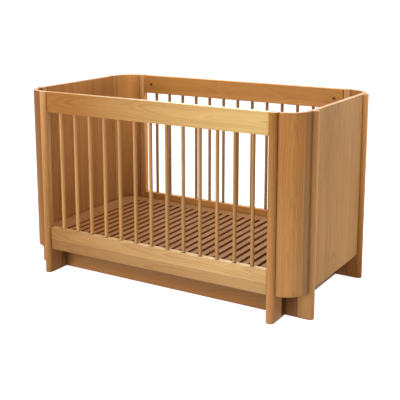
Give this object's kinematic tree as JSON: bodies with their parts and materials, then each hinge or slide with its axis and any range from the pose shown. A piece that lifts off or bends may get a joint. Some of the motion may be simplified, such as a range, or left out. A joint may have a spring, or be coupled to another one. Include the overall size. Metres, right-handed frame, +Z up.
{
  "type": "baby crib",
  "caption": "Wooden baby crib with curved corner panels, full-height rounded posts, closed ends, spindle sides and a slotted mattress base that is set higher or lower.",
  "frame": {"origin": "on the floor, at the middle of the crib's length and depth", "axes": "+X along the length, to the right seen from the front; -Y towards the front; +Z up"},
  "size_m": [1.406, 0.816, 0.84],
  "materials": {
    "rail_wood": "satin lacquered oak, grain along the rail",
    "post_wood": "satin lacquered oak, grain upright",
    "panel_veneer": "satin lacquered oak veneer, grain upright",
    "spindle_wood": "satin lacquered turned oak",
    "plinth_wood": "satin lacquered oak, grain along the board",
    "base_wood": "satin lacquered board",
    "steel": "bronzed, slightly worn"
  },
  "bodies": {
    "crib_frame": {"base_board_front": "plinth_wood", "base_board_back": "plinth_wood", "base_board_left": "plinth_wood", "base_board_right": "plinth_wood", "long_side_post_front_left": "post_wood", "long_side_post_front_right": "post_wood", "long_side_post_back_left": "post_wood", "long_side_post_back_right": "post_wood", "end_post_front_left": "post_wood", "end_post_front_right": "post_wood", "end_post_back_left": "post_wood", "end_post_back_right": "post_wood", "corner_panel_front_left": "panel_veneer", "corner_panel_front_right": "panel_veneer", "corner_panel_back_left": "panel_veneer", "corner_panel_back_right": "panel_veneer", "end_panel_left": "panel_veneer", "end_panel_right": "panel_veneer", "top_rail_front": "rail_wood", "bottom_rail_front": "rail_wood", "top_rail_back": "rail_wood", "bottom_rail_back": "rail_wood", "spindle_front_01": "spindle_wood", "spindle_front_02": "spindle_wood", "spindle_front_03": "spindle_wood", "spindle_front_04": "spindle_wood", "spindle_front_05": "spindle_wood", "spindle_front_06": "spindle_wood", "spindle_front_07": "spindle_wood", "spindle_front_08": "spindle_wood", "spindle_front_09": "spindle_wood", "spindle_front_10": "spindle_wood", "spindle_front_11": "spindle_wood", "spindle_front_12": "spindle_wood", "spindle_front_13": "spindle_wood", "spindle_back_01": "spindle_wood", "spindle_back_02": "spindle_wood", "spindle_back_03": "spindle_wood", "spindle_back_04": "spindle_wood", "spindle_back_05": "spindle_wood", "spindle_back_06": "spindle_wood", "spindle_back_07": "spindle_wood", "spindle_back_08": "spindle_wood", "spindle_back_09": "spindle_wood", "spindle_back_10": "spindle_wood", "spindle_back_11": "spindle_wood", "spindle_back_12": "spindle_wood", "spindle_back_13": "spindle_wood", "cam_lock_front_left": "steel", "cam_lock_front_right": "steel", "cam_lock_back_left": "steel", "cam_lock_back_right": "steel"},
    "mattress_base": {"mattress_base": "base_wood", "base_batten_front": "base_wood", "base_batten_back": "base_wood", "base_bracket_front_left": "steel", "base_bracket_front_right": "steel", "base_bracket_back_left": "steel", "base_bracket_back_right": "steel"}
  },
  "joints": [
    {"name": "mattress_base_height", "type": "slide", "parent": "crib_frame", "child": "mattress_base", "axis": [0, 0, 1], "range_m": [0, 0.24]}
  ]
}
